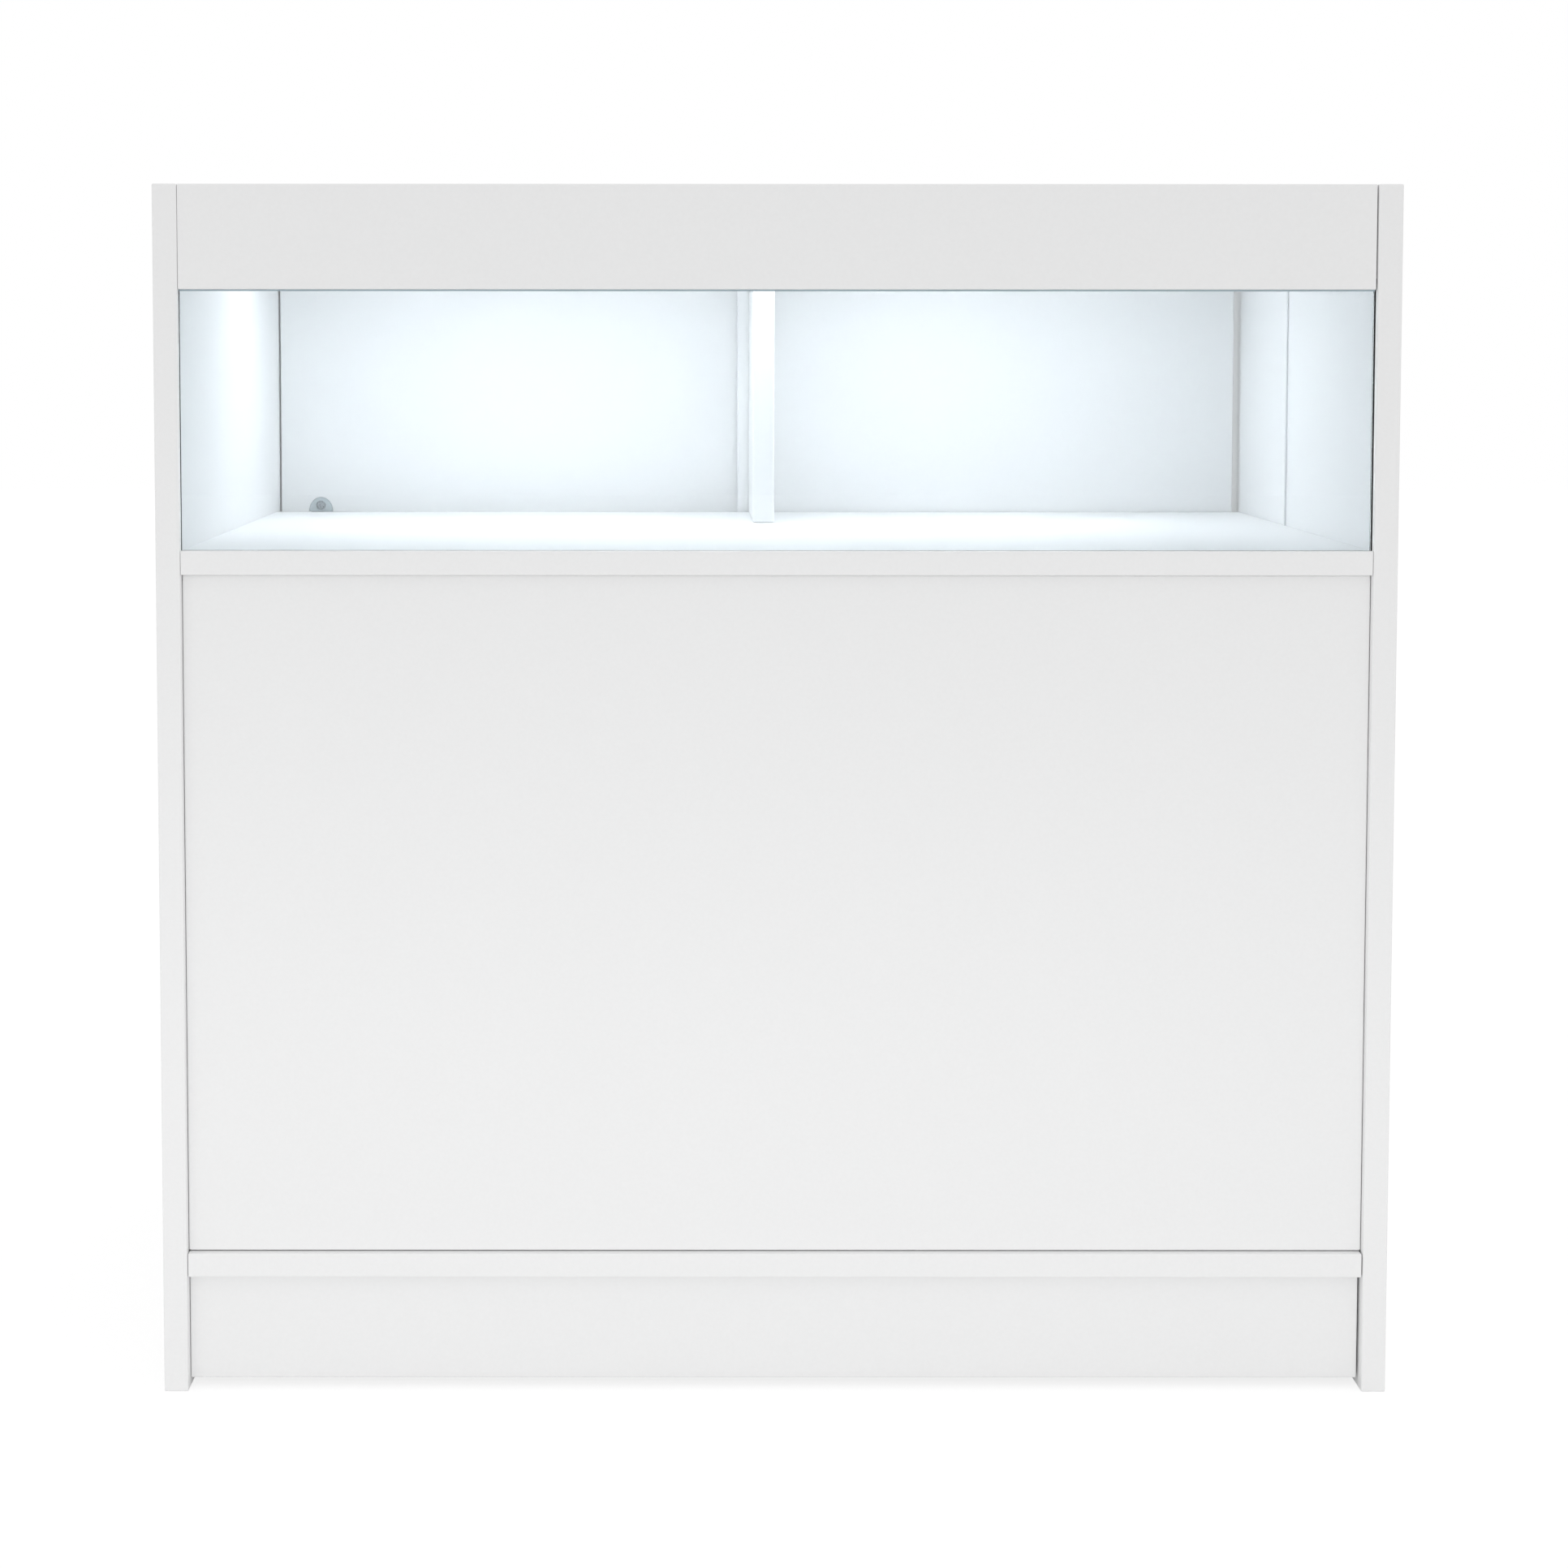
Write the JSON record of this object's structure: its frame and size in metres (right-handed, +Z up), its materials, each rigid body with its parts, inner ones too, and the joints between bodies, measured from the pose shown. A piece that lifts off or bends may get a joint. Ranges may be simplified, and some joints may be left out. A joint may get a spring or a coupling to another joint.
{
  "type": "shop counter",
  "caption": "White shop counter: a lit, glass-fronted display case with sliding rear doors over a closed front with open shelved storage behind.",
  "frame": {"origin": "on the floor under the middle of the counter", "axes": "+X to the customer's right, +Y away from the customer towards the doors and storage, +Z up"},
  "size_m": [0.914, 0.5, 0.9],
  "materials": {
    "white_board": "white melamine, fine grain",
    "clear_glass": "clear, polished edges",
    "clear_seal": "satin, milky clear",
    "track_plastic": "satin white",
    "aluminium": "satin anodised",
    "led_board": "matt white",
    "opal_diffuser": "opal, lit",
    "grey_plastic": "matt",
    "white_sleeve": "satin",
    "black_socket": "satin black",
    "block_plastic": "matt white",
    "zinc_steel": "bright zinc",
    "white_nylon": "satin white",
    "satin_pull": "satin"
  },
  "bodies": {
    "carcass": {"side_panel_left": "white_board", "side_panel_right": "white_board", "top_board": "white_board", "fascia": "white_board", "display_deck": "white_board", "display_post": "white_board", "bottom_board": "white_board", "front_panel": "white_board", "front_plinth": "white_board", "rear_plinth": "white_board", "storage_divider": "white_board", "storage_shelf_left": "white_board", "storage_shelf_right": "white_board", "display_glass": "clear_glass", "glass_seal": "clear_seal", "door_track_bottom": "track_plastic", "door_track_top": "track_plastic", "led_channel": "aluminium", "led_strip": "led_board", "led_diffuser": "opal_diffuser", "led_cap_left": "grey_plastic", "led_cap_right": "grey_plastic", "led_lead": "white_sleeve", "led_inlet": "black_socket", "plinth_block_front_left": "block_plastic", "plinth_block_front_right": "block_plastic", "plinth_block_rear_left": "block_plastic", "plinth_block_rear_right": "block_plastic", "shelf_pin_left_front_1": "zinc_steel", "shelf_pin_left_front_2": "zinc_steel", "shelf_pin_left_rear_1": "zinc_steel", "shelf_pin_left_rear_2": "zinc_steel", "shelf_pin_right_front_1": "zinc_steel", "shelf_pin_right_front_2": "zinc_steel", "shelf_pin_right_rear_1": "zinc_steel", "shelf_pin_right_rear_2": "zinc_steel"},
    "door_left": {"display_door_left": "white_board", "finger_pull_left": "satin_pull", "door_shoe_left_bottom_outer": "white_nylon", "shoe_screw_left_bottom_outer": "zinc_steel", "door_shoe_left_bottom_inner": "white_nylon", "shoe_screw_left_bottom_inner": "zinc_steel", "door_shoe_left_top_outer": "white_nylon", "shoe_screw_left_top_outer": "zinc_steel", "door_shoe_left_top_inner": "white_nylon", "shoe_screw_left_top_inner": "zinc_steel"},
    "door_right": {"display_door_right": "white_board", "finger_pull_right": "satin_pull", "door_shoe_right_bottom_outer": "white_nylon", "shoe_screw_right_bottom_outer": "zinc_steel", "door_shoe_right_bottom_inner": "white_nylon", "shoe_screw_right_bottom_inner": "zinc_steel", "door_shoe_right_top_outer": "white_nylon", "shoe_screw_right_top_outer": "zinc_steel", "door_shoe_right_top_inner": "white_nylon", "shoe_screw_right_top_inner": "zinc_steel"}
  },
  "joints": [
    {"name": "door_left_slide", "type": "slide", "parent": "carcass", "child": "door_left", "axis": [1, 0, 0], "range_m": [-0.0013, 0.4251]},
    {"name": "door_right_slide", "type": "slide", "parent": "carcass", "child": "door_right", "axis": [1, 0, 0], "range_m": [-0.4196, 0.0068]}
  ]
}
